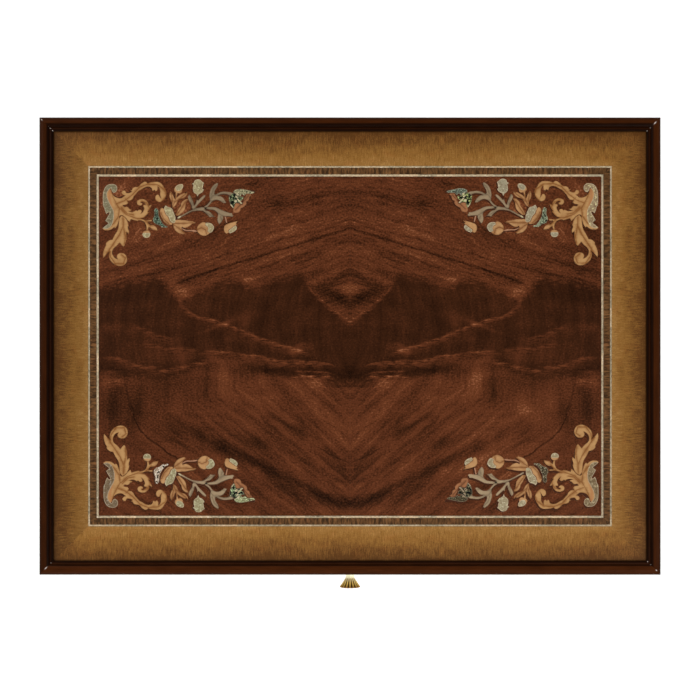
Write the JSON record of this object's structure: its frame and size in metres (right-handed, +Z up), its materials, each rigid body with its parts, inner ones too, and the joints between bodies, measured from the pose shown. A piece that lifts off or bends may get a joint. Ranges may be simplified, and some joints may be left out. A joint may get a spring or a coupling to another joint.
{
  "type": "side table",
  "caption": "Rectangular side table on tapered square legs, with a marquetry top, a moulded edge and a frieze drawer with a turned knob.",
  "frame": {"origin": "on the floor, below the middle of the table's box, knob included", "axes": "+X along the top's length to the right as the drawer is faced, -Y out of the drawer, +Z up"},
  "size_m": [0.76, 0.583, 0.69],
  "materials": {
    "mahogany": "french polished",
    "figured_mahogany": "french polished crotch veneer",
    "satinwood": "french polished, shaded",
    "crossband_wood": "french polished",
    "marquetry": "sand-shaded boxwood and shell, french polished",
    "mother_of_pearl": "polished shell",
    "oak": "waxed",
    "brass": "satin, fluted",
    "steel": "domed nail"
  },
  "bodies": {
    "table": {"edge_moulding_front": "mahogany", "edge_moulding_right": "mahogany", "edge_moulding_back": "mahogany", "edge_moulding_left": "mahogany", "satinwood_border_front": "satinwood", "satinwood_border_right": "satinwood", "satinwood_border_back": "satinwood", "satinwood_border_left": "satinwood", "crossband_front": "crossband_wood", "crossband_right": "crossband_wood", "crossband_back": "crossband_wood", "crossband_left": "crossband_wood", "outer_stringing": "mother_of_pearl", "inner_stringing": "mother_of_pearl", "field_leaf_left": "figured_mahogany", "field_leaf_right": "figured_mahogany", "acanthus_back_left": "marquetry", "flower_spray_back_left": "marquetry", "acanthus_back_right": "marquetry", "flower_spray_back_right": "marquetry", "acanthus_front_left": "marquetry", "flower_spray_front_left": "marquetry", "acanthus_front_right": "marquetry", "flower_spray_front_right": "marquetry", "top_panel": "oak", "leg_front_left": "mahogany", "glide_front_left": "steel", "leg_front_right": "mahogany", "glide_front_right": "steel", "leg_back_right": "mahogany", "glide_back_right": "steel", "leg_back_left": "mahogany", "glide_back_left": "steel", "back_rail": "mahogany", "side_rail_left": "mahogany", "side_rail_right": "mahogany", "drawer_blade": "mahogany", "front_top_rail": "mahogany", "drawer_runner_left": "oak", "drawer_runner_right": "oak", "kicker_left": "oak", "kicker_right": "oak", "drawer_stop_left": "oak", "drawer_stop_right": "oak", "top_button_left": "oak", "top_button_right": "oak", "glue_block_left": "oak", "glue_block_right": "oak"},
    "drawer": {"drawer_front": "mahogany", "drawer_side_left": "oak", "drawer_side_right": "oak", "drawer_back": "oak", "drawer_bottom": "oak", "cock_bead_bottom": "mahogany", "cock_bead_right": "mahogany", "cock_bead_top": "mahogany", "cock_bead_left": "mahogany", "knob": "brass", "knob_screw": "brass"}
  },
  "joints": [
    {"name": "drawer_slide", "type": "slide", "parent": "table", "child": "drawer", "axis": [0, -1, 0], "range_m": [0, 0.36]}
  ]
}
